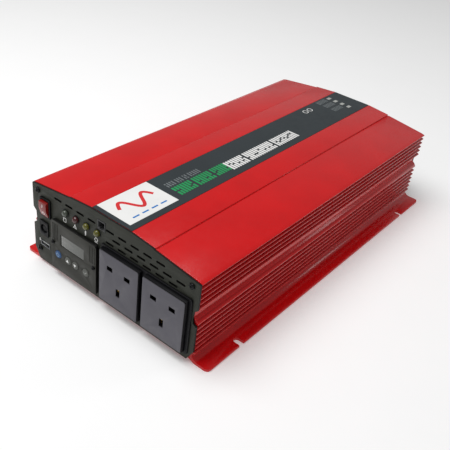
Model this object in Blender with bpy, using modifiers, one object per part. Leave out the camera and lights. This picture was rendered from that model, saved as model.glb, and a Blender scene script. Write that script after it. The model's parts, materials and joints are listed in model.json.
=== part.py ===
"""Power inverter and charger in an extruded aluminium case, built as an assembly of separate pieces.

Sizes are in millimetres and the helpers turn them into Blender's metres.  X runs across the case,
Y from the socket panel (front, -Y) to the battery terminals (rear, +Y), and Z up from the feet.
"""

import math

import bmesh
import bpy
from mathutils import Matrix

MM = 0.001

# ------------------------------------------------------------------ driving sizes
CASE_LENGTH = 432.0          # over both end panels
FIN_TIP_X = 108.3            # half width over the side fins
FIN_ROOT_X = 104.1
WALL_INSIDE_X = 101.5
FLANGE_X = 125.0             # half width over the mounting flanges
FLANGE_THICK = 3.0
TRAY_BELLY_Z = 3.4            # the floor stands this far above the flanges' underside
FRONT_REACH = 6.2            # socket faces stand this far in front of the front panel
REAR_REACH = 24.0            # terminal studs stand this far behind the rear panel
CENTRE_FLAT_X = 25.4         # half width of the flat strip that carries the label
STEP_X = 54.6                # the raised middle of the cover ends here
CORNER_Z = 91.2              # top side corner of the case
TOP_Z = 101.4
FRONT_PANEL_THICK = 2.0
REAR_PANEL_THICK = 2.0
GAP = 0.3                    # between pieces that touch

Y_FRONT = FRONT_REACH - (CASE_LENGTH + FRONT_REACH + REAR_REACH) / 2
Y_REAR = Y_FRONT + CASE_LENGTH
SHELL_FRONT = Y_FRONT + FRONT_PANEL_THICK + GAP
SHELL_REAR = Y_REAR - REAR_PANEL_THICK - GAP

# Fins: tip heights of the upper and the lower group, and the waist between them.
UPPER_FIN_PITCH = 5.4
UPPER_FIN_COUNT = 5
LOWER_FIN_TOP_Z = 46.6
LOWER_FIN_PITCH = 5.73
LOWER_FIN_COUNT = 7
FIN_TIP_HALF = 0.5
FIN_ROOT_HALF = 1.6
COVER_EDGE_Z = 60.2
WAIST_Z = 52.2                # foot of the plain recessed band between the groups
FOOT_FILLET = 8.0

# Screw ports: open round channels inside the four corners of the shells.
PORT_X = 99.5
PORT_Z = (17.0, 86.0)
PORT_RADIUS = 1.65
PORT_SLOT_HALF = 0.8
PORT_BLOCK_X = 95.5
PORT_BLOCK_HALF = 4.0

# Flange slots, open to the outer edge.
SLOT_FROM_END = 49.3
SLOT_WIDTH = 7.0
SLOT_DEPTH = 9.5
FLANGE_CORNER = 5.0

# Front panel features: centres are (x, z) on the panel.
VENT_SIZE = (10.4, 2.4)
VENT_PITCH = 15.6
VENT_ROWS = ((-70.3, 88.2, 4), (0.7, 88.2, 5), (9.0, 81.3, 6), (0.7, 75.0, 6))
LED_CENTRES = tuple((-59.0 + 14.6 * i, 79.2) for i in range(4))
LED_RADIUS = 3.3
LED_REACH = 4.2
REMOTE_CENTRE = (-10.2, 89.8)
REMOTE_SIZE = (9.8, 10.0)
ROCKER_CENTRE = (-88.0, 71.2)
ROCKER_BEZEL = (14.8, 20.8)
ROCKER_TILT = 9.0            # degrees to either side of its middle position
BREAKER_CENTRE = (-91.4, 45.0)
BREAKER_SIZE = (12.6, 17.5)
USB_CENTRE = (-91.6, 25.0)
USB_SIZE = (13.2, 6.2)
LCD_CENTRE = (-45.0, 37.0)
LCD_SIZE = (64.0, 58.0)
LCD_REACH = 4.0
LCD_OPENING = (53.0, 46.0)
LCD_ROOM = (54.0, 44.0)
WINDOW_CENTRE = (-46.6, 47.0)
WINDOW_SIZE = (33.2, 13.0)
BUTTON_Z = 28.0
BUTTONS = (("power", -67.0), ("up", -52.6), ("down", -41.9), ("enter", -27.2))
BUTTON_RADIUS = 4.3
LCD_SCREWS = ((-74.0, 40.2), (-16.0, 40.2))
FRONT_SCREWS = ((-PORT_X, PORT_Z[1]), (-PORT_X, PORT_Z[0]), (PORT_X, PORT_Z[1]))

# Sockets: a square-pin outlet with earth above or below two flat pins.
SOCKET_CENTRES = (("left", 18.7, 40.8), ("right", 73.6, 40.8))
SOCKET_FACE = (49.5, 57.4)
SOCKET_BODY = (50.2, 58.2)
SOCKET_REAR_WIDTH = 43.0
SOCKET_BODY_REACH = 5.0
SOCKET_FRAME = (-9.0, 102.5, 9.5, 72.6)      # low x, high x, low z, high z
PIN_HALF_PITCH = 11.11
LINE_PIN_Z = 12.8
EARTH_PIN_Z = -9.4
LINE_PIN_SLOT = (7.2, 4.8)
EARTH_PIN_SLOT = (4.8, 8.8)
PIN_DEPTH = 24.0
SHUTTER_SIZE = (31.0, 6.6)
SHUTTER_TRAVEL = 6.5
SHUTTER_REACH = (-0.4, 1.6)      # back and front of the shutter plate

# Rear panel features.
REAR_PANEL_X = 102.9
FAN_CENTRES = (("left", -63.0, 46.0), ("right", 0.0, 46.0))
FAN_SIZE = 60.0
FAN_DEPTH = 15.0
FAN_DUCT_RADIUS = 28.6
ROTOR_RADIUS = 27.4
ROTOR_HUB_RADIUS = 11.0
BLADE_COUNT = 7
TERMINALS = (("positive", 46.0, 31.0), ("negative", 84.0, 31.0))
STUD_RADIUS = 4.0
INLET_CENTRE = (65.0, 70.0)
INLET_FLANGE = (47.0, 31.0)
INLET_BODY = (36.0, 26.0)
GROUND_CENTRE = (65.0, 47.0)
REAR_SCREWS = tuple((side * PORT_X, z) for side in (-1, 1) for z in PORT_Z)

# Inside: the board lies on the screw-port blocks of the tray.
BOARD_Z = PORT_Z[0] + PORT_BLOCK_HALF + GAP
BOARD_THICK = 1.6
BOARD_Y = (SHELL_FRONT + 45.0, SHELL_REAR - 52.0)
BOARD_HALF_X = 99.5

# ------------------------------------------------------------------ finishes: colour, roughness, metallic
FINISHES = {
    "red_paint": ((196, 36, 38), 0.34, 0.1),
    "panel_paint": ((60, 60, 54), 0.55, 0.1),
    "black_plastic": ((16, 16, 19), 0.45, 0.0),
    "module_plastic": ((50, 50, 45), 0.55, 0.0),
    "socket_plastic": ((86, 84, 93), 0.5, 0.0),
    "label_film": ((45, 52, 55), 0.4, 0.0),
    "rocker_red": ((190, 30, 22), 0.3, 0.0),
    "red_insulator": ((180, 22, 20), 0.4, 0.0),
    "lcd_glass": ((105, 106, 100), 0.15, 0.0),
    "button_blue": ((48, 100, 160), 0.4, 0.0),
    "button_grey": ((110, 112, 106), 0.4, 0.0),
    "lens_clear": ((120, 122, 112), 0.15, 0.0),
    "lens_red": ((96, 32, 34), 0.15, 0.0),
    "lens_yellow": ((122, 122, 40), 0.15, 0.0),
    "steel": ((170, 172, 175), 0.3, 1.0),
    "black_screw": ((20, 20, 22), 0.35, 0.8),
    "brass": ((196, 160, 84), 0.3, 1.0),
    "copper": ((190, 110, 74), 0.3, 1.0),
    "aluminium": ((180, 182, 184), 0.4, 1.0),
    "circuit_board": ((20, 78, 46), 0.5, 0.0),
    "ferrite": ((52, 52, 54), 0.7, 0.0),
    "winding_tape": ((200, 172, 60), 0.5, 0.0),
    "capacitor_sleeve": ((26, 30, 60), 0.35, 0.0),
}


# ------------------------------------------------------------------ scene, materials, objects
def clear_scene():
    for obj in list(bpy.data.objects):
        bpy.data.objects.remove(obj, do_unlink=True)


def named_collection(name):
    found = bpy.data.collections.get(name)
    if found is None:
        found = bpy.data.collections.new(name)
        bpy.context.scene.collection.children.link(found)
    return found


def linear(level):
    """The linear value of one sRGB channel that runs from 0 to 255."""
    part = level / 255
    return part / 12.92 if part <= 0.04045 else ((part + 0.055) / 1.055) ** 2.4


def make_material(node, finish):
    colour, roughness, metallic = FINISHES[finish]
    material = bpy.data.materials.new(f"{node}_{finish}")
    material.use_nodes = True
    shader = material.node_tree.nodes["Principled BSDF"]
    shader.inputs["Base Color"].default_value = (*(linear(level) for level in colour), 1.0)
    shader.inputs["Roughness"].default_value = roughness
    shader.inputs["Metallic"].default_value = metallic
    return material


clear_scene()
PARTS = named_collection("power_inverter")
TOOLS = named_collection("cutters")


def add_object(name, mesh, finish):
    """Link a mesh as a part with its own material, or as a hidden tool when it has no finish."""
    obj = bpy.data.objects.new(name, mesh)
    if finish is None:
        TOOLS.objects.link(obj)
        obj.hide_render = True
        obj.display_type = "WIRE"
    else:
        PARTS.objects.link(obj)
        mesh.materials.append(make_material(name, finish))
    return obj


def finish_mesh(bm, name):
    mesh = bpy.data.meshes.new(name)
    bm.to_mesh(mesh)
    bm.free()
    mesh.shade_smooth()
    mesh.set_sharp_from_angle(angle=math.radians(35))
    return mesh


# ------------------------------------------------------------------ outlines
def arc(cx, cz, radius, start, end, steps):
    """Points on an arc from one angle to another, in degrees."""
    angles = [math.radians(start + (end - start) * i / steps) for i in range(steps + 1)]
    return [(cx + radius * math.cos(a), cz + radius * math.sin(a)) for a in angles]


def circle(cx, cz, radius, steps=24):
    return arc(cx, cz, radius, 0, 360, steps)[:-1]


def rectangle(cx, cz, width, height):
    half_w, half_h = width / 2, height / 2
    corners = ((-1, -1), (1, -1), (1, 1), (-1, 1))
    return [(cx + sx * half_w, cz + sz * half_h) for sx, sz in corners]


def rounded(cx, cz, width, height, radius, steps=3):
    """Rectangle with round corners."""
    half_w, half_h = width / 2 - radius, height / 2 - radius
    points = []
    for quarter, (sx, sz) in enumerate(((1, 1), (-1, 1), (-1, -1), (1, -1))):
        start = 90 * quarter
        points += arc(cx + sx * half_w, cz + sz * half_h, radius, start, start + 90, steps)
    return points


def mirrored(right_half):
    """Close a right half outline, drawn from the middle out and back, with its mirror image."""
    left = [(-x, z) for x, z in reversed(right_half) if x > 0]
    return right_half + left


# ------------------------------------------------------------------ shapes
def outline_mesh(name, outer, holes, depth):
    """Plate of the given depth, centred on local Z, from one outline and any holes."""
    curve = bpy.data.curves.new(name, "CURVE")
    curve.dimensions = "2D"
    curve.fill_mode = "BOTH"
    curve.extrude = depth / 2 * MM
    for ring in (outer, *holes):
        spline = curve.splines.new("POLY")
        spline.points.add(len(ring) - 1)
        for point, (x, z) in zip(spline.points, ring):
            point.co = (x * MM, z * MM, 0, 1)
        spline.use_cyclic_u = True
    source = bpy.data.objects.new(name, curve)
    PARTS.objects.link(source)
    evaluated = source.evaluated_get(bpy.context.evaluated_depsgraph_get())
    bm = bmesh.new()
    bm.from_mesh(bpy.data.meshes.new_from_object(evaluated))
    bmesh.ops.remove_doubles(bm, verts=bm.verts, dist=0.01 * MM)
    bmesh.ops.recalc_face_normals(bm, faces=bm.faces)
    bpy.data.objects.remove(source)
    bpy.data.curves.remove(curve)
    return finish_mesh(bm, name)


def upright(name, outer, y_low, y_high, finish, holes=()):
    """Plate whose outline stands in X and Z, between two Y positions."""
    obj = add_object(name, outline_mesh(name, outer, holes, y_high - y_low), finish)
    obj.rotation_euler.x = math.radians(90)
    obj.location.y = (y_low + y_high) / 2 * MM
    return obj


def flat(name, outer, z_low, z_high, finish, holes=()):
    """Plate whose outline lies in X and Y, between two heights."""
    obj = add_object(name, outline_mesh(name, outer, holes, z_high - z_low), finish)
    obj.location.z = (z_low + z_high) / 2 * MM
    return obj


def box(name, low, high, finish, bevel=0.0):
    """Box between two corners, with its edges bevelled when a width is given."""
    size = [(b - a) * MM for a, b in zip(low, high)]
    bm = bmesh.new()
    bmesh.ops.create_cube(bm, size=1.0)
    bmesh.ops.scale(bm, vec=size, verts=bm.verts)
    obj = add_object(name, finish_mesh(bm, name), finish)
    obj.location = [(a + b) / 2 * MM for a, b in zip(low, high)]
    if bevel:
        edge = obj.modifiers.new("edges", "BEVEL")
        edge.width = bevel * MM
        edge.segments = 2
    return obj


def face_box(name, centre, size, y_low, y_high, finish, bevel=0.0):
    """Box given by its centre and size on a panel and its two Y positions."""
    (cx, cz), (width, height) = centre, size
    low = (cx - width / 2, y_low, cz - height / 2)
    high = (cx + width / 2, y_high, cz + height / 2)
    return box(name, low, high, finish, bevel)


def turned(name, profile, centre, finish, facing=-1, steps=20):
    """Turned piece: (radius, reach) pairs from its tip inwards, with its axis along Y.

    The origin is where reach is zero, and reach runs towards -Y when facing is -1, else +Y.
    """
    bm = bmesh.new()
    is_ring = profile[0] == profile[-1]
    points = [bm.verts.new((radius * MM, 0, reach * MM)) for radius, reach in profile[is_ring:]]
    if is_ring:
        points.insert(0, points[-1])
    for first, second in zip(points, points[1:]):
        bm.edges.new((first, second))
    mesh = bpy.data.meshes.new(name)
    bm.to_mesh(mesh)
    bm.free()
    obj = add_object(name, mesh, finish)
    obj.location = [value * MM for value in centre]
    obj.rotation_euler.x = math.radians(-90 * facing)
    spin = obj.modifiers.new("turn", "SCREW")
    spin.steps = steps
    spin.render_steps = steps
    spin.use_merge_vertices = True
    spin.merge_threshold = 0.01 * MM
    spin.use_smooth_shade = True
    return obj


def combine(target, tools, operation):
    for tool in tools:
        step = target.modifiers.new(tool.name, "BOOLEAN")
        step.operation = operation
        step.solver = "EXACT"
        step.object = tool


def cut(target, *tools):
    combine(target, tools, "DIFFERENCE")


def fuse(target, *tools):
    combine(target, tools, "UNION")


def front(reach):
    """Y of a point that stands this far in front of the front panel's face."""
    return Y_FRONT - reach


def rear(reach):
    """Y of a point that stands this far behind the rear panel's face."""
    return Y_REAR + reach


# ------------------------------------------------------------------ the two shells
def fin(tip_z, root_x=FIN_ROOT_X):
    """One side fin, drawn downwards: broad at its root and blunt at its tip."""
    return [
        (root_x, tip_z + FIN_ROOT_HALF),
        (FIN_TIP_X, tip_z + FIN_TIP_HALF),
        (FIN_TIP_X, tip_z - FIN_TIP_HALF),
        (FIN_ROOT_X, tip_z - FIN_ROOT_HALF),
    ]


def screw_port(z):
    """Block on the inner wall with a round channel open to the inside, drawn upwards."""
    opening = math.degrees(math.asin(PORT_SLOT_HALF / PORT_RADIUS))
    channel = arc(PORT_X, z, PORT_RADIUS, -180 + opening, 180 - opening, 12)
    return [(PORT_BLOCK_X, z - PORT_SLOT_HALF), *channel, (PORT_BLOCK_X, z + PORT_SLOT_HALF)]


def cover_profile():
    """Closed outline of the upper shell."""
    outside = [
        (0, TOP_Z - 0.6),
        (CENTRE_FLAT_X + 0.2, TOP_Z - 0.6),
        (CENTRE_FLAT_X + 0.3, TOP_Z),
        (CENTRE_FLAT_X + 1.5, TOP_Z),
        (STEP_X - 0.4, 98.95),
        (STEP_X, 98.6),
        (STEP_X, 97.5),
        (STEP_X + 0.8, 97.5),
        (STEP_X + 1.1, 98.05),
        (FIN_TIP_X - 4.5, 92.3),
        (FIN_TIP_X, CORNER_Z),
        (FIN_TIP_X, CORNER_Z - 1.0),
        (FIN_ROOT_X, CORNER_Z - 2.4),
    ]
    for row in range(1, UPPER_FIN_COUNT + 1):
        outside += fin(CORNER_Z - row * UPPER_FIN_PITCH)
    outside += [(FIN_ROOT_X - 1.0, COVER_EDGE_Z), (WALL_INSIDE_X, COVER_EDGE_Z)]
    block_low = PORT_Z[1] - PORT_BLOCK_HALF
    inside = [
        (WALL_INSIDE_X, block_low),
        (PORT_BLOCK_X, block_low),
        *screw_port(PORT_Z[1]),
        (PORT_BLOCK_X, 90.6),
        (STEP_X, 95.2),
        (CENTRE_FLAT_X, 98.2),
        (0, 98.2),
    ]
    return mirrored(outside + inside)


def tray_profile():
    """Closed outline of the lower shell with its fins and mounting flanges."""
    rise = TRAY_BELLY_Z / 2
    sweep = [(99.0 + 11.0 * i / 6, rise + rise * math.cos(math.pi * i / 6)) for i in range(7)]
    fillet = arc(FIN_ROOT_X + FOOT_FILLET, FLANGE_THICK + FOOT_FILLET, FOOT_FILLET, 270, 184, 7)
    outside = [
        (0, TRAY_BELLY_Z),
        *sweep,
        (FLANGE_X - 0.8, 0),
        (FLANGE_X, 0.8),
        (FLANGE_X, FLANGE_THICK - 0.8),
        (FLANGE_X - 0.8, FLANGE_THICK),
        *fillet,
    ]
    for row in reversed(range(LOWER_FIN_COUNT)):
        outside += reversed(fin(LOWER_FIN_TOP_Z - row * LOWER_FIN_PITCH))
    outside[-1] = (FIN_TIP_X - 1.6, WAIST_Z - 2.6)
    outside += [
        (FIN_ROOT_X + 0.6, WAIST_Z - 0.8),
        (FIN_ROOT_X - 1.4, WAIST_Z),
        (FIN_ROOT_X - 1.4, COVER_EDGE_Z - 0.4),
        (WALL_INSIDE_X - GAP, COVER_EDGE_Z - 0.4),
        (WALL_INSIDE_X - GAP, 66.0),
        (WALL_INSIDE_X - 2.1, 66.0),
        (WALL_INSIDE_X - 2.1, 51.0),
        (WALL_INSIDE_X, 49.0),
    ]
    block_low = PORT_Z[0] - PORT_BLOCK_HALF
    block_high = PORT_Z[0] + PORT_BLOCK_HALF
    inside = [
        (WALL_INSIDE_X, block_high),
        (PORT_BLOCK_X, block_high),
        *reversed(screw_port(PORT_Z[0])),
        (PORT_BLOCK_X, block_low),
        (WALL_INSIDE_X, block_low),
        (WALL_INSIDE_X, 7.0),
        (WALL_INSIDE_X - 1.5, 5.8),
        (0, 5.8),
    ]
    return mirrored(outside + inside)


def flange_slot(name, side, y):
    """Cutter for one slot: round at its inner end and open at the flange's edge."""
    inner = FLANGE_X - SLOT_DEPTH + SLOT_WIDTH / 2
    around = arc(inner, y, SLOT_WIDTH / 2, 90, 270, 8)
    outline = [(FLANGE_X + 2, y + SLOT_WIDTH / 2), *around, (FLANGE_X + 2, y - SLOT_WIDTH / 2)]
    return flat(name, [(side * x, py) for x, py in outline], -1, FLANGE_THICK + 1, None)


def flange_corner(name, side, end, y):
    """Cutter that rounds one corner of a flange."""
    cx, cy = FLANGE_X - FLANGE_CORNER, y - end * FLANGE_CORNER
    rounding = [(x, cy + end * (py - cy)) for x, py in arc(cx, cy, FLANGE_CORNER, 9, 81, 5)]
    first_y, last_x = rounding[0][1], rounding[-1][0]
    outline = [*rounding, (last_x, y + end * 2), (FLANGE_X + 2, y + end * 2), (FLANGE_X + 2, first_y)]
    return flat(name, [(side * x, py) for x, py in outline], -1, FLANGE_THICK + 1, None)


def make_shells():
    upright("top_cover", cover_profile(), SHELL_FRONT, SHELL_REAR, "red_paint")
    tray = upright("base_tray", tray_profile(), SHELL_FRONT, SHELL_REAR, "red_paint")
    for side, side_name in ((-1, "left"), (1, "right")):
        for end, end_name, y in ((-1, "front", SHELL_FRONT), (1, "rear", SHELL_REAR)):
            slot_y = y - end * SLOT_FROM_END
            cut(tray, flange_slot(f"slot_{side_name}_{end_name}", side, slot_y))
            cut(tray, flange_corner(f"corner_{side_name}_{end_name}", side, end, y))
    label = rectangle(0, 0, 2 * CENTRE_FLAT_X, SHELL_REAR - SHELL_FRONT - 0.4)
    centre_y = (SHELL_FRONT + SHELL_REAR) / 2
    flat("top_label", [(x, y + centre_y) for x, y in label], TOP_Z - 0.35, TOP_Z + 0.1, "label_film")


# ------------------------------------------------------------------ end panels
def front_outline():
    """Front panel: follows the shells over the top, is notched at the waist, and narrows at the foot."""
    half = [
        (0, 3.0),
        (101.0, 3.0),
        (108.0, 15.5),
        (108.0, 44.6),
        (104.0, 47.0),
        (103.4, 53.0),
        (104.0, 60.0),
        (108.0, 63.6),
        (108.0, 91.0),
        (STEP_X + 0.3, 97.9),
        (STEP_X, 98.7),
        (CENTRE_FLAT_X + 1.5, TOP_Z - 0.1),
        (0, TOP_Z - 0.1),
    ]
    return mirrored(half)


def rear_outline():
    """Rear panel: stays inside the fins and just below the top, so that neither shows it from the front."""
    half = [
        (0, TRAY_BELLY_Z + 0.6),
        (99.0, TRAY_BELLY_Z + 0.6),
        (REAR_PANEL_X, 7.5),
        (REAR_PANEL_X, 90.0),
        (STEP_X, 96.4),
        (CENTRE_FLAT_X + 1.5, TOP_Z - 1.8),
        (0, TOP_Z - 1.8),
    ]
    return mirrored(half)


def vent_slots():
    return [rounded(x + i * VENT_PITCH, z, *VENT_SIZE, 0.8, 1)
            for x, z, count in VENT_ROWS for i in range(count)]


def screw_holes(centres, radius=1.9):
    return [circle(x, z, radius, 16) for x, z in centres]


def make_front_panel():
    holes = vent_slots() + screw_holes(FRONT_SCREWS) + screw_holes(LCD_SCREWS, 1.6)
    holes += [circle(x, z, LED_RADIUS + GAP, 20) for x, z in LED_CENTRES]
    holes.append(rectangle(*REMOTE_CENTRE, *(size + 0.6 for size in REMOTE_SIZE)))
    holes.append(rectangle(*ROCKER_CENTRE, ROCKER_BEZEL[0] - 1.4, ROCKER_BEZEL[1] - 1.4))
    holes.append(rectangle(*BREAKER_CENTRE, BREAKER_SIZE[0] - 1.4, BREAKER_SIZE[1] - 1.4))
    holes.append(rectangle(*USB_CENTRE, *(size + 0.6 for size in USB_SIZE)))
    holes.append(rectangle(*LCD_CENTRE, *LCD_OPENING))
    holes += [rectangle(x, z, *(size + 0.6 for size in SOCKET_BODY)) for _, x, z in SOCKET_CENTRES]
    upright("front_panel", front_outline(), Y_FRONT, Y_FRONT + FRONT_PANEL_THICK, "panel_paint", holes)


def grille_arcs(cx, cz):
    """Arc-shaped slots in rings, with three bridges between them, in front of one fan."""
    slots = []
    for inner, outer in ((11.5, 14.7), (16.7, 19.9), (21.9, 25.1)):
        bridge = math.degrees(2.0 / inner)
        for third in range(3):
            start, end = 120 * third + bridge, 120 * third + 120 - bridge
            steps = 6
            slots.append(arc(cx, cz, outer, start, end, steps) + arc(cx, cz, inner, end, start, steps))
    return slots


def make_rear_panel():
    holes = [slot for _, x, z in FAN_CENTRES for slot in grille_arcs(x, z)]
    holes += screw_holes(REAR_SCREWS)
    holes += [circle(x, z, 8.3, 20) for _, x, z in TERMINALS]
    holes.append(rectangle(*INLET_CENTRE, INLET_BODY[0] + 0.6, INLET_BODY[1] + 0.6))
    holes.append(circle(*GROUND_CENTRE, 2.8, 16))
    upright("rear_panel", rear_outline(), Y_REAR - REAR_PANEL_THICK, Y_REAR, "panel_paint", holes)


# ------------------------------------------------------------------ screws
def screw(name, x, z, face_y, facing, head_radius=3.2, shank=1.35, length=11.0, finish="black_screw"):
    """Pan-head screw with a cross recess; its head lies on the face at face_y."""
    profile = [
        (0, 2.3),
        (head_radius * 0.55, 2.1),
        (head_radius * 0.88, 1.4),
        (head_radius, GAP),
        (shank, GAP),
        (shank, -length),
        (0, -length),
    ]
    body = turned(name, profile, (x, face_y, z), finish, facing, 12)
    arm = head_radius * 0.55
    plus = []
    for quarter in range(4):
        turn = math.radians(90 * quarter)
        for px, pz in ((arm, -0.4), (arm, 0.4), (0.5, 0.5)):
            plus.append((x + px * math.cos(turn) - pz * math.sin(turn),
                         z + px * math.sin(turn) + pz * math.cos(turn)))
    reach = sorted((face_y + facing * 1.2, face_y + facing * 4.0))
    cut(body, upright(f"{name}_recess", plus, *reach, None))
    return body


def make_screws():
    for number, (x, z) in enumerate(FRONT_SCREWS, 1):
        screw(f"front_screw_{number}", x, z, Y_FRONT, -1)
    for number, (x, z) in enumerate(REAR_SCREWS, 1):
        screw(f"rear_screw_{number}", x, z, Y_REAR, 1)
    for number, (x, z) in enumerate(LCD_SCREWS, 1):
        screw(f"display_screw_{number}", x, z, front(LCD_REACH), -1, 2.2, 1.1, 9.5)


# ------------------------------------------------------------------ sockets
def pin_slots(cx, cz, grow=0.0):
    """The two line pins and the earth pin of one outlet, as centre and size."""
    line = tuple(size + grow for size in LINE_PIN_SLOT)
    earth = tuple(size + grow for size in EARTH_PIN_SLOT)
    return (
        ((cx - PIN_HALF_PITCH, cz + LINE_PIN_Z), line),
        ((cx + PIN_HALF_PITCH, cz + LINE_PIN_Z), line),
        ((cx, cz + EARTH_PIN_Z), earth),
    )


def make_socket_frame():
    low_x, high_x, low_z, high_z = SOCKET_FRAME
    centre = ((low_x + high_x) / 2, (low_z + high_z) / 2)
    outer = rounded(*centre, high_x - low_x, high_z - low_z, 2.0)
    holes = [rectangle(x, z, *(size + 0.6 for size in SOCKET_BODY)) for _, x, z in SOCKET_CENTRES]
    upright("socket_frame", outer, front(1.8), front(GAP), "black_plastic", holes)


def make_socket(side, cx, cz):
    """One outlet: grey face, black moulding with three pin wells, and the sliding shutter between."""
    holes = [rectangle(*centre, *size) for centre, size in pin_slots(cx, cz)]
    face = rounded(cx, cz, *SOCKET_FACE, 1.2)
    upright(f"socket_face_{side}", face, front(FRONT_REACH), front(SOCKET_BODY_REACH + 0.2),
            "socket_plastic", holes)

    body = face_box(f"socket_body_{side}", (cx, cz), SOCKET_BODY, front(SOCKET_BODY_REACH),
                    front(GAP - FRONT_PANEL_THICK), "black_plastic")
    rear_size = (SOCKET_REAR_WIDTH, SOCKET_BODY[1])
    rear_block = face_box(f"socket_rear_{side}", (cx, cz), rear_size, front(0), front(-PIN_DEPTH - 2), None)
    fuse(body, rear_block)
    for number, (centre, size) in enumerate(pin_slots(cx, cz, 0.4), 1):
        well = face_box(f"well_{side}_{number}", centre, size, front(8), front(-PIN_DEPTH), None)
        cut(body, well)
    shutter_back, shutter_front = SHUTTER_REACH
    room_centre = (cx, cz + LINE_PIN_Z - SHUTTER_TRAVEL / 2)
    room_size = (SHUTTER_SIZE[0] + 2.0, SHUTTER_SIZE[1] + SHUTTER_TRAVEL + 1.0)
    room_back = front(shutter_back - 0.4)
    room = face_box(f"shutter_room_{side}", room_centre, room_size, front(8), room_back, None)
    cut(body, room)
    face_box(f"socket_shutter_{side}", (cx, cz + LINE_PIN_Z), SHUTTER_SIZE, front(shutter_front),
             front(shutter_back), "black_plastic", 0.3)


# ------------------------------------------------------------------ controls on the left of the front panel
def make_rocker_switch():
    """Power switch: black bezel with a red rocker that rests with its lower end pressed in."""
    cx, cz = ROCKER_CENTRE
    housing = face_box("rocker_housing", ROCKER_CENTRE, ROCKER_BEZEL, front(2.2), front(GAP),
                       "black_plastic", 0.5)
    inner = (ROCKER_BEZEL[0] - 2.0, ROCKER_BEZEL[1] - 2.0)
    fuse(housing, face_box("rocker_case", ROCKER_CENTRE, inner, front(1.5), front(-18.0), None))
    opening = (ROCKER_BEZEL[0] - 3.4, ROCKER_BEZEL[1] - 2.6)
    cut(housing, face_box("rocker_well", ROCKER_CENTRE, opening, front(6.0), front(-9.0), None))

    half = opening[1] / 2 - 0.7
    ridge = 5.2
    end = ridge - half * math.tan(math.radians(ROCKER_TILT))
    side_view = [(-half, end), (0, ridge), (half, end), (half - 0.4, -1.5), (2.5, -6.5), (-2.5, -6.5),
                 (-half + 0.4, -1.5)]
    mesh = outline_mesh("rocker", side_view, (), opening[0] - 0.8)
    mesh.transform(Matrix(((0, 0, 1), (0, -1, 0), (1, 0, 0))).to_4x4())
    rocker = add_object("rocker", mesh, "rocker_red")
    rocker.location = (cx * MM, front(0) * MM, cz * MM)
    rocker.rotation_euler.x = math.radians(ROCKER_TILT)


def make_breaker():
    """Reset breaker: black block with a round well and the reset button inside."""
    housing = face_box("breaker_housing", BREAKER_CENTRE, BREAKER_SIZE, front(1.6), front(GAP),
                       "black_plastic", 0.4)
    inner = (BREAKER_SIZE[0] - 2.0, BREAKER_SIZE[1] - 2.0)
    fuse(housing, face_box("breaker_case", BREAKER_CENTRE, inner, front(1.0), front(-22.0), None))
    cx, cz = BREAKER_CENTRE
    well = turned("breaker_well", [(0, 6), (4.9, 6), (4.9, -10), (0, -10)], (cx, Y_FRONT, cz), None)
    cut(housing, well)
    profile = [(0, 0.6), (2.6, 0.5), (3.9, 0.0), (4.4, -0.8), (4.4, -6.0), (0, -6.0)]
    turned("breaker_button", profile, (cx, Y_FRONT, cz), "black_plastic")


def make_usb_port():
    """USB power outlet: a steel shell with a tongue inside."""
    cx, cz = USB_CENTRE
    width, height = USB_SIZE
    port = face_box("usb_port", USB_CENTRE, USB_SIZE, front(0.4), front(-14.0), "steel")
    wide = width - 1.2
    below = face_box("usb_below_tongue", (cx, cz - 1.15), (wide, 2.7), front(2), front(-12), None)
    above = face_box("usb_above_tongue", (cx, cz + 2.1), (wide, 0.8), front(2), front(-12), None)
    mouth = face_box("usb_mouth", (cx, cz), (wide, height - 1.2), front(2), front(-1.2), None)
    cut(port, below, above, mouth)


def make_remote_port():
    """Jack for a remote control lead."""
    cx, cz = REMOTE_CENTRE
    port = face_box("remote_port", REMOTE_CENTRE, REMOTE_SIZE, front(0.5), front(-13.0), "black_plastic")
    cavity = face_box("remote_cavity", (cx, cz + 0.6), (7.8, 6.4), front(2), front(-11), None)
    latch = face_box("remote_latch", (cx, cz - 3.0), (4.0, 2.0), front(2), front(-11), None)
    cut(port, cavity, latch)


def make_leds():
    finishes = ("lens_clear", "lens_red", "lens_yellow", "lens_yellow")
    shoulder = LED_REACH - LED_RADIUS
    turns = [math.radians(angle) for angle in (0, 22, 45, 68)]
    dome = [(LED_RADIUS * math.sin(turn), shoulder + LED_RADIUS * math.cos(turn)) for turn in turns]
    back = -FRONT_PANEL_THICK - 3.0
    profile = [*dome, (LED_RADIUS, shoulder), (LED_RADIUS, -FRONT_PANEL_THICK - 1.0),
               (LED_RADIUS + 0.6, -FRONT_PANEL_THICK - 1.0), (LED_RADIUS + 0.6, back), (0, back)]
    for number, ((x, z), finish) in enumerate(zip(LED_CENTRES, finishes), 1):
        turned(f"indicator_led_{number}", profile, (x, Y_FRONT, z), finish, steps=16)
    board_y = front(back - GAP)
    box("led_board", (-68.0, board_y, 74.5), (-6.0, board_y + 1.6, 83.5), "circuit_board")


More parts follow.
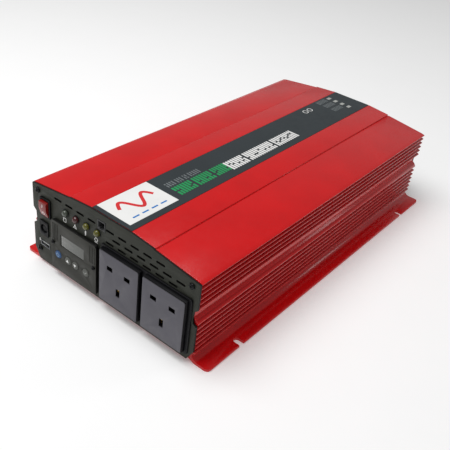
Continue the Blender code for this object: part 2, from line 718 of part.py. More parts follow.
def make_display():
    """Control module: housing with window, four push buttons and its circuit board."""
    holes = [rectangle(*WINDOW_CENTRE, *WINDOW_SIZE)]
    holes += [circle(x, BUTTON_Z, BUTTON_RADIUS + GAP, 24) for _, x in BUTTONS]
    holes += screw_holes(LCD_SCREWS, 1.4)
    outer = rounded(*LCD_CENTRE, *LCD_SIZE, 3.0)
    housing = upright("display_housing", outer, front(LCD_REACH), front(GAP), "module_plastic", holes)
    cut(housing, face_box("display_room", LCD_CENTRE, LCD_ROOM, front(LCD_REACH - 1.5), front(-2), None))
    pane = (WINDOW_SIZE[0] + 2.6, WINDOW_SIZE[1] + 2.6)
    face_box("display_window", WINDOW_CENTRE, pane, front(LCD_REACH - 1.8), front(LCD_REACH - 3.0),
             "lcd_glass")
    board_size = (LCD_OPENING[0] - 2.0, LCD_OPENING[1] - 2.0)
    face_box("display_board", LCD_CENTRE, board_size, front(-1.0), front(-2.6), "circuit_board")
    finishes = {"power": "button_blue", "enter": "button_grey"}
    top = LCD_REACH + 0.9
    profile = [(0, top), (3.2, top - 0.05), (3.9, top - 0.3), (BUTTON_RADIUS, top - 0.8),
               (BUTTON_RADIUS, 0.2), (0, 0.2)]
    for name, x in BUTTONS:
        turned(f"{name}_button", profile, (x, Y_FRONT, BUTTON_Z), finishes.get(name, "button_grey"))


# ------------------------------------------------------------------ rear: fans, terminals, inlet
def make_fan(side, cx, cz):
    """Axial fan: square frame with a motor base on four arms, and its rotor."""
    back = Y_REAR - REAR_PANEL_THICK - GAP
    inner_y = back - FAN_DEPTH
    frame = upright(f"fan_frame_{side}", rounded(cx, cz, FAN_SIZE, FAN_SIZE, 4.0), inner_y + 1.0, back,
                    "black_plastic", [circle(cx, cz, FAN_DUCT_RADIUS, 32)])
    openings = []
    for quarter in range(4):
        start, end = 90 * quarter + 5, 90 * quarter + 85
        openings.append(arc(cx, cz, FAN_DUCT_RADIUS, start, end, 7) + arc(cx, cz, 12.0, end, start, 3))
    outer = rounded(cx, cz, FAN_SIZE, FAN_SIZE, 4.0)
    fuse(frame, upright(f"fan_arms_{side}", outer, inner_y, inner_y + 2.0, None, openings))

    middle_y = inner_y + 8.6
    rotor = turned(f"fan_rotor_{side}", [(0, 5.2), (9.6, 5.2), (ROTOR_HUB_RADIUS, 4.2),
                                         (ROTOR_HUB_RADIUS, -5.2), (0, -5.2)],
                   (cx, middle_y, cz), "black_plastic", 1, 24)
    for number in range(BLADE_COUNT):
        angle = 2 * math.pi * number / BLADE_COUNT
        reach = (ROTOR_HUB_RADIUS + ROTOR_RADIUS) / 2 - 0.5
        blade = box(f"blade_{side}_{number}", (-8.7, -0.6, -6.5), (8.7, 0.6, 6.5), None)
        pitch = Matrix.Rotation(math.radians(48), 4, "X")
        blade.data.transform(Matrix.Translation((reach * MM, 0, 0)) @ pitch)
        blade.data.transform(Matrix.Rotation(math.radians(90), 4, "X"))
        blade.data.transform(Matrix.Rotation(angle, 4, "Y"))
        blade.location = (cx * MM, middle_y * MM, cz * MM)
        fuse(rotor, blade)


def make_terminal(name, cx, cz):
    """Battery terminal: insulating bush, brass stud, hexagon nut and the bar to the board."""
    finish = "red_insulator" if name == "positive" else "black_plastic"
    bush = [(STUD_RADIUS + GAP, 7.0), (11.0, 7.0), (12.0, 6.0), (12.0, GAP), (8.0, GAP), (8.0, -6.0),
            (STUD_RADIUS + GAP, -6.0), (STUD_RADIUS + GAP, 7.0)]
    turned(f"terminal_bush_{name}", bush, (cx, Y_REAR, cz), finish, 1)
    stud = [(0, REAR_REACH), (STUD_RADIUS - 0.8, REAR_REACH), (STUD_RADIUS, REAR_REACH - 0.8),
            (STUD_RADIUS, -6.3), (8.0, -6.3), (8.0, -10.0), (0, -10.0)]
    turned(f"terminal_stud_{name}", stud, (cx, Y_REAR, cz), "brass", 1)
    hexagon = circle(cx, cz, 7.5, 6)
    upright(f"terminal_nut_{name}", hexagon, rear(10.6), rear(17.1), "brass",
            [circle(cx, cz, STUD_RADIUS + GAP, 24)])
    deck = BOARD_Z + BOARD_THICK + GAP
    back_y, front_y, end_y = rear(-10.3), rear(-13.3), BOARD_Y[1] - 25.0
    side_view = [(back_y, cz - 9), (back_y, cz + 9), (front_y, cz + 9), (front_y, deck + 3),
                 (end_y, deck + 3), (end_y, deck), (front_y, deck), (front_y, cz - 9)]
    mesh = outline_mesh(f"busbar_{name}", side_view, (), 16.0)
    mesh.transform(Matrix(((0, 0, 1), (1, 0, 0), (0, 1, 0))).to_4x4())
    bar = add_object(f"busbar_{name}", mesh, "copper")
    bar.location.x = cx * MM


def make_inlet():
    """Mains inlet for the charger: recessed block with three flat pins."""
    cx, cz = INLET_CENTRE
    inlet = face_box("mains_inlet", INLET_CENTRE, INLET_FLANGE, rear(GAP), rear(3.0), "black_plastic", 0.6)
    fuse(inlet, face_box("inlet_case", INLET_CENTRE, INLET_BODY, rear(-22.0), rear(1.5), None))
    cut(inlet, face_box("inlet_recess", INLET_CENTRE, (32.0, 22.0), rear(-17.0), rear(6.0), None))
    pins = ((cx - 9.0, cz - 3.0), (cx + 9.0, cz - 3.0), (cx, cz + 4.5))
    for number, centre in enumerate(pins, 1):
        fuse(inlet, face_box(f"inlet_pin_{number}", centre, (2.0, 7.0), rear(-18.0), rear(-1.5), None))


def make_ground_stud():
    cx, cz = GROUND_CENTRE
    profile = [(0, 13.0), (2.0, 13.0), (2.5, 12.4), (2.5, GAP + 4.0), (4.6, GAP + 4.0), (4.6, GAP),
               (2.5, GAP), (2.5, -8.0), (0, -8.0)]
    turned("ground_stud", profile, (cx, Y_REAR, cz), "brass", 1, 16)


# ------------------------------------------------------------------ inside
def make_inside():
    """Main board with the parts that turn battery current into mains."""
    low_y, high_y = BOARD_Y
    deck = BOARD_Z + BOARD_THICK + GAP
    box("main_board", (-BOARD_HALF_X, low_y, BOARD_Z), (BOARD_HALF_X, high_y, BOARD_Z + BOARD_THICK),
        "circuit_board")
    for side, name in ((-1, "left"), (1, "right")):
        near, far = sorted((side * 90.0, side * 98.8))
        box(f"heat_sink_{name}", (near, low_y + 10, deck), (far, high_y - 35, 64.0), "aluminium", 0.6)

    core_x, core_y = -40.0, high_y - 110.0
    half_x, half_y = 32.0, 28.0
    core = box("transformer_core", (core_x - half_x, core_y - half_y, deck),
               (core_x + half_x, core_y + half_y, deck + 20.0), "ferrite", 0.8)
    for side in (-1, 1):
        middle = core_x + side * 17.5
        cut(core, box(f"core_window_{side + 1}", (middle - 7.5, core_y - half_y - 5, deck + 5.0),
                      (middle + 7.5, core_y + half_y + 5, deck + 15.0), None))
    winding = box("transformer_winding", (core_x - 24.6, core_y - half_y - 9, deck + 5.4),
                  (core_x + 24.6, core_y - half_y - GAP, deck + 14.6), "winding_tape", 1.5)
    for side in (-1, 1):
        middle = core_x + side * 17.5
        leg = box(f"winding_leg_{side + 1}", (middle - 7.1, core_y - half_y - 4, deck + 5.4),
                  (middle + 7.1, core_y + half_y + 4, deck + 14.6), None)
        fuse(winding, leg)

    capacitor = circle(48.0, low_y + 150.0, 17.5, 28)
    flat("bus_capacitor", capacitor, deck, deck + 45.0, "capacitor_sleeve")
    choke_y = low_y + 60.0
    flat("output_choke", circle(-30.0, choke_y, 24.0, 32), deck, deck + 20.0, "copper",
         [circle(-30.0, choke_y, 10.0, 20)])


def build():
    make_shells()
    make_front_panel()
    make_rear_panel()
    make_screws()
    make_socket_frame()
    for side, x, z in SOCKET_CENTRES:
        make_socket(side, x, z)
    make_rocker_switch()
    make_breaker()
    make_usb_port()
    make_remote_port()
    make_leds()
    make_display()
    for side, x, z in FAN_CENTRES:
        make_fan(side, x, z)
    for name, x, z in TERMINALS:
        make_terminal(name, x, z)
    make_inlet()
    make_ground_stud()
    make_inside()


build()
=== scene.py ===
"""Looks of a power inverter: paint, rounded edges, printing, lamps, studio and camera.

Lengths are in metres. Names that end in _MM hold millimetres. X runs to the right seen from the front,
Y to the back and Z up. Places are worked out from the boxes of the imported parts.
"""

import json
import math
import random

import bpy
import bmesh
from mathutils import Matrix, Vector


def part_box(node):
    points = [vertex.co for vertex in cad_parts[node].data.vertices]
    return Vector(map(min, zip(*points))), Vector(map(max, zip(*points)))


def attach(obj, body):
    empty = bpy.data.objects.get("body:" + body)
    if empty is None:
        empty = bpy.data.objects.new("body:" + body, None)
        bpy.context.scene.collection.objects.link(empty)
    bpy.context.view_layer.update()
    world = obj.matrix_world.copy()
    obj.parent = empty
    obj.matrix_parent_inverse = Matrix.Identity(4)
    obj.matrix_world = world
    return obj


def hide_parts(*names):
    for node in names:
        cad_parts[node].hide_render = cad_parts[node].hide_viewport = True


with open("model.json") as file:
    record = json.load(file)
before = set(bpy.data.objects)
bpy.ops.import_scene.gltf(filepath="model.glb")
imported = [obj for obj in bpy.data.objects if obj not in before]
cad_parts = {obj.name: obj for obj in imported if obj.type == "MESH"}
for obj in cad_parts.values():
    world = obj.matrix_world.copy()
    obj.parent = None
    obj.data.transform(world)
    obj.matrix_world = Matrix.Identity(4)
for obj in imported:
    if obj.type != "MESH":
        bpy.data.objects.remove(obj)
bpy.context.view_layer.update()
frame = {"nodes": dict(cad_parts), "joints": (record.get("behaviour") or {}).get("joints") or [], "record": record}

MM = 0.001
CASING = "casing"

# ------------------------------------------------------------------ camera and studio
CAMERA_AZIMUTH = 34.741
CAMERA_ELEVATION = 33.889
CAMERA_ROLL = 7.714
CAMERA_DISTANCE = 0.7141
CAMERA_TARGET = Vector((0.0247, -0.0822, 0.0432))
CAMERA_LENS = 53.99
SENSOR_WIDTH = 36.0

# ------------------------------------------------------------------ colours, as 8-bit sRGB
RED = (206, 6, 12)
# colour of worn edges on the red paint, and also the painted highlight on fin tips and the plain band
RED_WORN_AND_HIGHLIGHT = (232, 128, 120)
# painted shade for the roots of the side fins
RED_ROOT_SHADE = (84, 0, 2)
PANEL = (50, 52, 45)
PANEL_WORN = (70, 72, 64)
BLACK = (8, 8, 12)
MODULE = (47, 47, 41)
SOCKET = (80, 78, 87)
LABEL = (40, 48, 52)
PRINT_WHITE = (240, 240, 238)
PRINT_GREEN = (20, 150, 84)
PRINT_GREY = (110, 116, 118)
PRINT_RED = (214, 40, 44)
PRINT_BLUE = (20, 120, 196)

# ------------------------------------------------------------------ the sides of the case, for the painted shade and highlights on their fins
COVER_LOW, COVER_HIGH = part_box("top_cover")
FIN_TIP_X = COVER_HIGH.x
FIN_ROOT_X = FIN_TIP_X - 4.3 * MM
UPPER_FINS_Z = (COVER_LOW.z + 3.0 * MM, COVER_LOW.z + 30.1 * MM)
LOWER_FINS_Z = (9.5 * MM, 50.0 * MM)
PLAIN_BAND_Z = (COVER_LOW.z - 7.7 * MM, COVER_LOW.z - 0.2 * MM)
PLAIN_BAND_X = (FIN_TIP_X - 6.3 * MM, FIN_TIP_X - 4.8 * MM)
ROOT_SHADE_SHARE = 0.9                 # how much painted shade darkens the roots between the fins
TIP_HIGHLIGHT_SHARE = 0.16                 # how much painted highlight lightens the fin tips and the plain band

# ------------------------------------------------------------------ sizes of the noise in every finish
COLOUR_PATCH = 45 * MM
GLOSS_PATCH = 9 * MM
WEAR_PATCH = 4 * MM
WEAR_REACH = 0.5 * MM            # how far wear spreads from an edge


def linear(colour):
    """An 8-bit sRGB colour as linear red, green, blue and alpha."""
    values = []
    for value in colour:
        part = value / 255
        values.append(part / 12.92 if part <= 0.04045 else ((part + 0.055) / 1.055) ** 2.4)
    return (*values, 1.0)


def scaled(colour, factor):
    return tuple(min(255, value * factor) for value in colour)


# ------------------------------------------------------------------ finishes
class Nodes:
    """Adds nodes to a material and links them with less writing."""

    def __init__(self, tree):
        self.tree = tree

    def add(self, kind, inputs=None, **settings):
        node = self.tree.nodes.new(kind)
        for name, value in settings.items():
            setattr(node, name, value)
        for name, value in (inputs or {}).items():
            if isinstance(value, bpy.types.NodeSocket):
                self.tree.links.new(value, node.inputs[name])
            else:
                node.inputs[name].default_value = value
        return node

    def noise(self, coordinates, size, detail=3.0, roughness=0.55, stretch=None):
        """Noise whose features are about the given size across."""
        vector = coordinates
        if stretch is not None:
            mapping = self.add("ShaderNodeMapping", {"Vector": coordinates, "Scale": stretch})
            vector = mapping.outputs["Vector"]
        inputs = {"Vector": vector, "Scale": 1 / size, "Detail": detail, "Roughness": roughness}
        return self.add("ShaderNodeTexNoise", inputs).outputs["Fac"]

    def ranged(self, value, low, high, to_low, to_high):
        """A value taken from one range to another, and held at the ends."""
        inputs = {"Value": value, "From Min": low, "From Max": high, "To Min": to_low, "To Max": to_high}
        return self.add("ShaderNodeMapRange", inputs).outputs["Result"]

    def mixed(self, factor, first, second):
        """The first colour where the factor is 0, the second where it is 1."""
        node = self.add("ShaderNodeMix", data_type="RGBA")
        for socket, value in zip((node.inputs[0], node.inputs[6], node.inputs[7]), (factor, first, second)):
            if isinstance(value, bpy.types.NodeSocket):
                self.tree.links.new(value, socket)
            else:
                socket.default_value = value
        return node.outputs[2]

    def maths(self, operation, *values):
        """The result of a Math node on one or two values."""
        return self.add("ShaderNodeMath", dict(enumerate(values)), operation=operation).outputs[0]

    def between(self, value, low, high, soft):
        """1 between two limits and 0 outside them, with soft ends."""
        rise = self.ranged(value, low - soft, low, 0.0, 1.0)
        fall = self.ranged(value, high, high + soft, 1.0, 0.0)
        return self.maths("MULTIPLY", rise, fall)

    def edges(self, radius):
        """Near 1 on sharp convex and concave edges, 0 on flat faces."""
        rounded = self.add("ShaderNodeBevel", {"Radius": radius}, samples=4)
        normal = self.add("ShaderNodeNewGeometry").outputs["Normal"]
        dot = self.add("ShaderNodeVectorMath", operation="DOT_PRODUCT")
        self.tree.links.new(rounded.outputs["Normal"], dot.inputs[0])
        self.tree.links.new(normal, dot.inputs[1])
        return self.ranged(dot.outputs["Value"], 0.995, 0.86, 0.0, 1.0)


def paint_fin_shade_and_highlight(nodes, place, base):
    """Paints shade into the roots of the side fins, and paints highlights on their tips and on the plain band
    between them.

    Also returns how far a point lies towards the root of a fin, from 0 to 1.
    """
    axes = nodes.add("ShaderNodeSeparateXYZ", {"Vector": place})
    across = nodes.maths("ABSOLUTE", axes.outputs["X"])
    height = axes.outputs["Z"]
    fins = nodes.maths("MAXIMUM", nodes.between(height, *UPPER_FINS_Z, soft=0.4 * MM),
                       nodes.between(height, *LOWER_FINS_Z, soft=0.4 * MM))
    root = nodes.maths("MULTIPLY", fins, nodes.ranged(across, FIN_ROOT_X, FIN_TIP_X - 0.5 * MM, 1.0, 0.0))
    # painted shade: the fin roots are darkened towards the dark red
    base = nodes.mixed(nodes.ranged(root, 0.0, 1.0, 0.0, ROOT_SHADE_SHARE), base, linear(RED_ROOT_SHADE))
    # painted highlight on the fin tips and on the plain band
    tips = nodes.ranged(across, FIN_TIP_X - 0.35 * MM, FIN_TIP_X - 0.15 * MM, 0.0, 1.0)
    tips = nodes.maths("MULTIPLY", fins, tips)
    band = nodes.maths("MULTIPLY", nodes.between(height, *PLAIN_BAND_Z, soft=0.5 * MM),
                       nodes.between(across, *PLAIN_BAND_X, soft=0.3 * MM))
    light = nodes.ranged(nodes.maths("MAXIMUM", tips, band), 0.0, 1.0, 0.0, TIP_HIGHLIGHT_SHARE)
    return nodes.mixed(light, base, linear(RED_WORN_AND_HIGHLIGHT)), root


def make_finish(name, colour, roughness, metallic=0.0, coat=0.0, worn=None, wear=0.5, mottle=0.06,
                grain=0.0005, grain_depth=0.00001, brushed=None, spread=0.06, specular=0.5,
                transmission=0.0, side=1.0, painted_fin_light=False):
    """A finish with uneven colour and gloss, a fine grain in its surface, and edges that show wear.

    mottle and spread say how much the colour and the roughness vary, and worn is the colour of worn edges.
    side scales the colour of faces that look neither forwards nor backwards, as painted shade. painted_fin_light
    adds painted shade in the fins' roots and painted highlights on their tips and the plain band.
    """
    material = bpy.data.materials.new(name)
    material.use_nodes = True
    tree = material.node_tree
    nodes = Nodes(tree)
    shader = tree.nodes["Principled BSDF"]
    place = nodes.add("ShaderNodeTexCoord").outputs["Object"]

    broad = nodes.noise(place, COLOUR_PATCH)
    base = nodes.mixed(nodes.ranged(broad, 0.3, 0.7, 0.0, 1.0), linear(scaled(colour, 1 - mottle)),
                       linear(scaled(colour, 1 + mottle)))
    if worn is not None:
        patchy = nodes.noise(place, WEAR_PATCH, detail=5.0)
        edge = nodes.edges(WEAR_REACH)
        amount = nodes.maths("MULTIPLY", edge, nodes.ranged(patchy, 0.35, 0.7, 0.15, 1.0))
        amount = nodes.ranged(amount, 0.0, 1.0, 0.0, wear)
        base = nodes.mixed(amount, base, linear(worn))
    # painted shade: faces that look up, down or sideways take a darker copy of the colour
    if side != 1.0:
        normal = nodes.add("ShaderNodeNewGeometry").outputs["Normal"]
        facing = nodes.add("ShaderNodeSeparateXYZ", {"Vector": normal}).outputs["Y"]
        facing = nodes.ranged(nodes.maths("ABSOLUTE", facing), 0.45, 0.75, 0.0, 1.0)
        base = nodes.mixed(facing, linear(scaled(colour, side)), base)
    # painted shade in the fin roots, and painted highlights on the fin tips and the plain band
    if painted_fin_light:
        base, root = paint_fin_shade_and_highlight(nodes, place, base)
        # less specular reflection in the fin roots, as part of the painted shade
        tree.links.new(nodes.ranged(root, 0.0, 1.0, specular, 0.05), shader.inputs["Specular IOR Level"])
    tree.links.new(base, shader.inputs["Base Color"])

    medium = nodes.noise(place, GLOSS_PATCH, detail=4.0)
    gloss = nodes.ranged(medium, 0.3, 0.7, max(0.02, roughness - spread), min(1.0, roughness + spread))
    tree.links.new(gloss, shader.inputs["Roughness"])

    fine = nodes.noise(place, grain, detail=2.0, stretch=brushed)
    bump = nodes.add("ShaderNodeBump", {"Strength": 0.5, "Distance": grain_depth, "Height": fine})
    tree.links.new(bump.outputs["Normal"], shader.inputs["Normal"])

    shader.inputs["Metallic"].default_value = metallic
    shader.inputs["Specular IOR Level"].default_value = specular
    shader.inputs["Coat Weight"].default_value = coat
    shader.inputs["Coat Roughness"].default_value = 0.12
    shader.inputs["Transmission Weight"].default_value = transmission
    return material


FINISHES = {
    # red_paint carries the painted shade and highlights on the fins; its worn colour doubles as the painted
    # highlight
    "red_paint": make_finish("red_paint", RED, 0.22, worn=RED_WORN_AND_HIGHLIGHT, wear=0.15, mottle=0.03, spread=0.03,
                             grain=0.0016, grain_depth=0.000001, painted_fin_light=True),
    # side paints shade on the faces of the panel, module and sockets that look neither forwards nor backwards
    "panel_paint": make_finish("panel_paint", PANEL, 0.55, worn=PANEL_WORN, wear=0.25, grain=0.0007,
                               grain_depth=0.00002, specular=0.25, side=0.35),
    "black_plastic": make_finish("black_plastic", BLACK, 0.5, worn=(34, 34, 40), wear=0.3,
                                 grain=0.0004, grain_depth=0.00001, specular=0.2),
    "module_plastic": make_finish("module_plastic", MODULE, 0.5, worn=(74, 74, 66), wear=0.3,
                                  grain=0.0005, grain_depth=0.00002, specular=0.3, side=0.25),
    "port_plastic": make_finish("port_plastic", (50, 50, 52), 0.5, worn=(70, 70, 72), wear=0.2),
    "socket_plastic": make_finish("socket_plastic", SOCKET, 0.45, worn=(128, 126, 136), wear=0.3,
                                  mottle=0.03, grain=0.0006, grain_depth=0.000008, side=0.4),
    "label_film": make_finish("label_film", LABEL, 0.38, mottle=0.05, grain=0.002, grain_depth=0.000004),
    "rocker_red": make_finish("rocker_red", (128, 16, 11), 0.3, coat=0.1, worn=(214, 110, 90), wear=0.25,
                              grain_depth=0.000003),
    "red_insulator": make_finish("red_insulator", (176, 20, 20), 0.4, worn=(214, 90, 84), wear=0.3),
    "lcd_glass": make_finish("lcd_glass", (82, 84, 79), 0.16, coat=0.6, mottle=0.03, spread=0.03,
                             grain=0.004, grain_depth=0.000002),
    "button_blue": make_finish("button_blue", (42, 82, 130), 0.55, mottle=0.08, grain_depth=0.00001),
    "button_grey": make_finish("button_grey", (88, 90, 85), 0.55, mottle=0.06, grain_depth=0.00001),
    "lens_clear": make_finish("lens_clear", (76, 82, 72), 0.2, coat=0.4, transmission=0.1,
                              spread=0.03, grain_depth=0.000002),
    "lens_red": make_finish("lens_red", (74, 26, 29), 0.2, coat=0.4, transmission=0.1,
                            spread=0.03, grain_depth=0.000002),
    "lens_yellow": make_finish("lens_yellow", (96, 94, 26), 0.2, coat=0.4, transmission=0.1,
                               spread=0.03, grain_depth=0.000002),
    "steel": make_finish("steel", (128, 130, 134), 0.34, metallic=1.0, brushed=(1, 12, 1), mottle=0.05,
                         grain=0.0008, grain_depth=0.000004),
    "black_screw": make_finish("black_screw", (26, 26, 28), 0.34, metallic=0.7, worn=(112, 112, 114),
                               wear=0.6, grain_depth=0.000005),
    "brass": make_finish("brass", (206, 166, 88), 0.28, metallic=1.0, brushed=(1, 10, 1), mottle=0.08,
                         grain=0.0007, grain_depth=0.000005),
    "copper": make_finish("copper", (196, 116, 78), 0.32, metallic=1.0, mottle=0.1, grain_depth=0.000006),
    "aluminium": make_finish("aluminium", (186, 188, 190), 0.36, metallic=1.0, brushed=(8, 1, 8),
                             mottle=0.04, grain=0.0008, grain_depth=0.00001),
    "circuit_board": make_finish("circuit_board", (22, 84, 50), 0.4, coat=0.3, mottle=0.12,
                                 grain=0.0012, grain_depth=0.00001),
    "ferrite": make_finish("ferrite", (54, 54, 57), 0.7, worn=(96, 96, 98), grain_depth=0.00004),
    "winding_tape": make_finish("winding_tape", (206, 176, 64), 0.3, coat=0.4, mottle=0.1,
                                grain=0.003, grain_depth=0.00003),
    "capacitor_sleeve": make_finish("capacitor_sleeve", (30, 42, 74), 0.3, coat=0.5,
                                    grain=0.004, grain_depth=0.00002),
    "lcd_ghost": make_finish("lcd_ghost", (74, 76, 71), 0.2, coat=0.4, mottle=0.03),
    "print_pale_blue": make_finish("print_pale_blue", (132, 170, 208), 0.5, mottle=0.04),
    "print_grey_light": make_finish("print_grey_light", (170, 172, 168), 0.5, mottle=0.04),
    "print_white": make_finish("print_white", PRINT_WHITE, 0.4, mottle=0.02, grain_depth=0.000004),
    "print_green": make_finish("print_green", PRINT_GREEN, 0.4, mottle=0.06, grain_depth=0.000004),
    "print_grey": make_finish("print_grey", PRINT_GREY, 0.45, mottle=0.06, grain_depth=0.000004),
    "print_red": make_finish("print_red", PRINT_RED, 0.4, mottle=0.05, grain_depth=0.000004),
    "print_blue": make_finish("print_blue", PRINT_BLUE, 0.4, mottle=0.05, grain_depth=0.000004),
}
SLOT_OF_NODE = {part["node"]: part["material_slot"] for part in frame["record"]["subparts"]}
BODY_OF_NODE = {node: body for body, nodes in frame["record"]["behaviour"]["bodies"].items()
                for node in nodes}


def centre_of(node):
    low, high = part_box(node)
    return (low + high) / 2


# ------------------------------------------------------------------ making pieces
WELD_REACH = 1e-6
FACING_FRONT = Matrix.Rotation(math.radians(90), 4, "X")      # a sheet's top then looks to -Y, its Y is up
FACING_BACK = Matrix.Rotation(math.radians(-90), 4, "X")      # its top then looks to +Y
FACING_UP = Matrix.Identity(4)


def add_piece(name, mesh, finish, body=CASING, replaces=()):
    """Links a mesh as a visible piece that rides on a body."""
    obj = bpy.data.objects.new(name, mesh)
    bpy.context.scene.collection.objects.link(obj)
    mesh.materials.clear()
    mesh.materials.append(FINISHES[finish])
    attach(obj, body)
    if replaces:
        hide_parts(*replaces)
    return obj


def smooth(mesh, angle=35.0):
    """Shades a mesh smooth, but for edges sharper than an angle in degrees."""
    mesh.shade_smooth()
    mesh.set_sharp_from_angle(angle=math.radians(angle))


def apply_modifiers(obj):
    """Replaces an object's mesh with what its modifiers make of it."""
    bpy.context.view_layer.update()
    evaluated = obj.evaluated_get(bpy.context.evaluated_depsgraph_get())
    mesh = bpy.data.meshes.new_from_object(evaluated)
    obj.modifiers.clear()
    old = obj.data
    obj.data = mesh
    bpy.data.meshes.remove(old)
    return mesh


def round_edges(mesh, width_mm, segments=2, angle=28.0):
    """A mesh with rounded edges, made from one that it takes the place of."""
    obj = bpy.data.objects.new("rounding", mesh)
    bpy.context.scene.collection.objects.link(obj)
    bevel = obj.modifiers.new("edges", "BEVEL")
    bevel.width = width_mm * MM
    bevel.segments = segments
    bevel.limit_method = "ANGLE"
    bevel.angle_limit = math.radians(angle)
    made = apply_modifiers(obj)
    bpy.data.objects.remove(obj)
    smooth(made, 40.0)
    return made


def weld(mesh, join_angle=None):
    """Welds a mesh's doubled vertices, and joins its flat facets where an angle is given."""
    cage = bmesh.new()
    cage.from_mesh(mesh)
    bmesh.ops.remove_doubles(cage, verts=cage.verts, dist=WELD_REACH)
    if join_angle is not None:
        bmesh.ops.dissolve_limit(cage, angle_limit=math.radians(join_angle), verts=cage.verts,
                                 edges=cage.edges)
    cage.to_mesh(mesh)
    cage.free()


def refine(node, width_mm, segments=2, finish=None):
    """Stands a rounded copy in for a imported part."""
    mesh = frame["nodes"][node].data.copy()
    weld(mesh, join_angle=0.6)
    mesh = round_edges(mesh, width_mm, segments)
    slot = SLOT_OF_NODE[node]
    return add_piece(f"{node}_rounded", mesh, finish or slot, BODY_OF_NODE[node], (node,))


def sheet_mesh(name, loops, thickness, edge=0.0):
    """A flat shape of the given outlines in the XY plane, with holes, from Z = 0 up to a thickness.

    edge is the width of the bevel around its rims.
    """
    curve = bpy.data.curves.new(name, "CURVE")
    curve.dimensions = "2D"
    curve.fill_mode = "BOTH"
    curve.extrude = thickness / 2 - edge
    curve.bevel_depth = edge
    curve.bevel_resolution = 1
    curve.offset = -edge
    for loop in loops:
        spline = curve.splines.new("POLY")
        spline.points.add(len(loop) - 1)
        for point, (x, y) in zip(spline.points, loop):
            point.co = (x, y, 0, 1)
        spline.use_cyclic_u = True
    obj = bpy.data.objects.new(name, curve)
    bpy.context.scene.collection.objects.link(obj)
    bpy.context.view_layer.update()
    mesh = bpy.data.meshes.new_from_object(obj.evaluated_get(bpy.context.evaluated_depsgraph_get()))
    bpy.data.objects.remove(obj)
    bpy.data.curves.remove(curve)
    weld(mesh)
    mesh.transform(Matrix.Translation((0, 0, thickness / 2)))
    return mesh


def sheet(name, loops, thickness, place, facing, finish, body=CASING, edge=0.0, replaces=()):
    """A flat piece, turned to face a way and put in its place."""
    mesh = sheet_mesh(name, loops, thickness, edge)
    mesh.transform(Matrix.Translation(place) @ facing)
    smooth(mesh)
    return add_piece(name, mesh, finish, body, replaces)


def mesh_from(cage, name):
    """A mesh made from a bmesh, with its faces turned outwards."""
    bmesh.ops.recalc_face_normals(cage, faces=cage.faces)
    mesh = bpy.data.meshes.new(name)
    cage.to_mesh(mesh)
    cage.free()
    return mesh


def turned_mesh(name, profile, steps=48):
    """A closed solid from a (radius, height) profile turned about +Z; both its ends are on the axis."""
    cage = bmesh.new()
    rings = []
    for radius, height in profile:
        turns = [2 * math.pi * step / steps for step in range(steps)] if radius > WELD_REACH else [0.0]
        rings.append([cage.verts.new((radius * math.cos(t), radius * math.sin(t), height)) for t in turns])
    for upper, lower in zip(rings, rings[1:]):
        for step in range(steps):
            corners = [upper[step % len(upper)], upper[(step + 1) % len(upper)],
                       lower[(step + 1) % len(lower)], lower[step % len(lower)]]
            cage.faces.new(list(dict.fromkeys(corners)))
    return mesh_from(cage, name)


def box_mesh(name, low, high):
    """A box between two corners."""
    cage = bmesh.new()
    bmesh.ops.create_cube(cage, size=1.0)
    size = [b - a for a, b in zip(low, high)]
    middle = [(a + b) / 2 for a, b in zip(low, high)]
    bmesh.ops.scale(cage, vec=size, verts=cage.verts)
    bmesh.ops.translate(cage, vec=middle, verts=cage.verts)
    return mesh_from(cage, name)


# ------------------------------------------------------------------ outlines
def circle_points(cx, cy, radius, steps=40):
    turns = [2 * math.pi * i / steps for i in range(steps)]
    return [(cx + radius * math.cos(turn), cy + radius * math.sin(turn)) for turn in turns]


def rectangle_points(cx, cy, width, height, corner=0.0, steps=5):
    """Outline of a rectangle about its centre, with round corners where a corner's radius is given."""
    if corner <= 0:
        x, y = width / 2, height / 2
        return [(cx - x, cy - y), (cx + x, cy - y), (cx + x, cy + y), (cx - x, cy + y)]
    points = []
    for quarter, (sx, sy) in enumerate(((1, 1), (-1, 1), (-1, -1), (1, -1))):
        ox, oy = cx + sx * (width / 2 - corner), cy + sy * (height / 2 - corner)
        for i in range(steps + 1):
            turn = math.radians(90 * quarter + 90 * i / steps)
            points.append((ox + corner * math.cos(turn), oy + corner * math.sin(turn)))
    return points


def stroke_points(points, width):
    """Outline of a line drawn with a pen of the given width, cut off square at both ends."""
    half = width / 2
    left, right = [], []
    for i, (x, y) in enumerate(points):
        before = points[max(0, i - 1)]
        after = points[min(len(points) - 1, i + 1)]
        dx, dy = after[0] - before[0], after[1] - before[1]
        length = math.hypot(dx, dy)
        nx, ny = -dy / length * half, dx / length * half
        left.append((x + nx, y + ny))
        right.append((x - nx, y - ny))
    return left + right[::-1]


def ring_loops(cx, cy, radius, width):
    """Outer and inner outline of a ring whose line has the given radius and width."""
    return [circle_points(cx, cy, radius + side * width / 2) for side in (1, -1)]


# ------------------------------------------------------------------ shells and panels
def dress_packed_parts():
    """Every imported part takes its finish; those that aren't replaced keep their own shape."""
    for node, obj in frame["nodes"].items():
        obj.data.materials.clear()
        obj.data.materials.append(FINISHES[SLOT_OF_NODE[node]])
        smooth(obj.data)


def dress_shells():
    for node in ("top_cover", "base_tray"):
        refine(node, 0.35, 2)
    for node in ("front_panel", "rear_panel"):
        refine(node, 0.2, 2)


# ------------------------------------------------------------------ printed label
PRINT_THICK = 0.06 * MM
PLAQUE_X = (-25.2 * MM, 18.2 * MM)
PLAQUE_REACH = (5.0 * MM, 68.5 * MM)           # from the label's front end
WAVE_MARGIN = 10.0 * MM                        # between the wave and the plaque's ends
WAVE_SHIFT = -2.0 * MM                         # from the middle of the plaque
WAVE_HEIGHT = 9.0 * MM
WAVE_PEN = 3.6 * MM
DASH_SHIFT = 15.0 * MM
DASH_START = 14.0 * MM                         # from the plaque's front edge
DASH_PITCH = 12.0 * MM
DASH_SIZE = (1.8 * MM, 8.0 * MM)
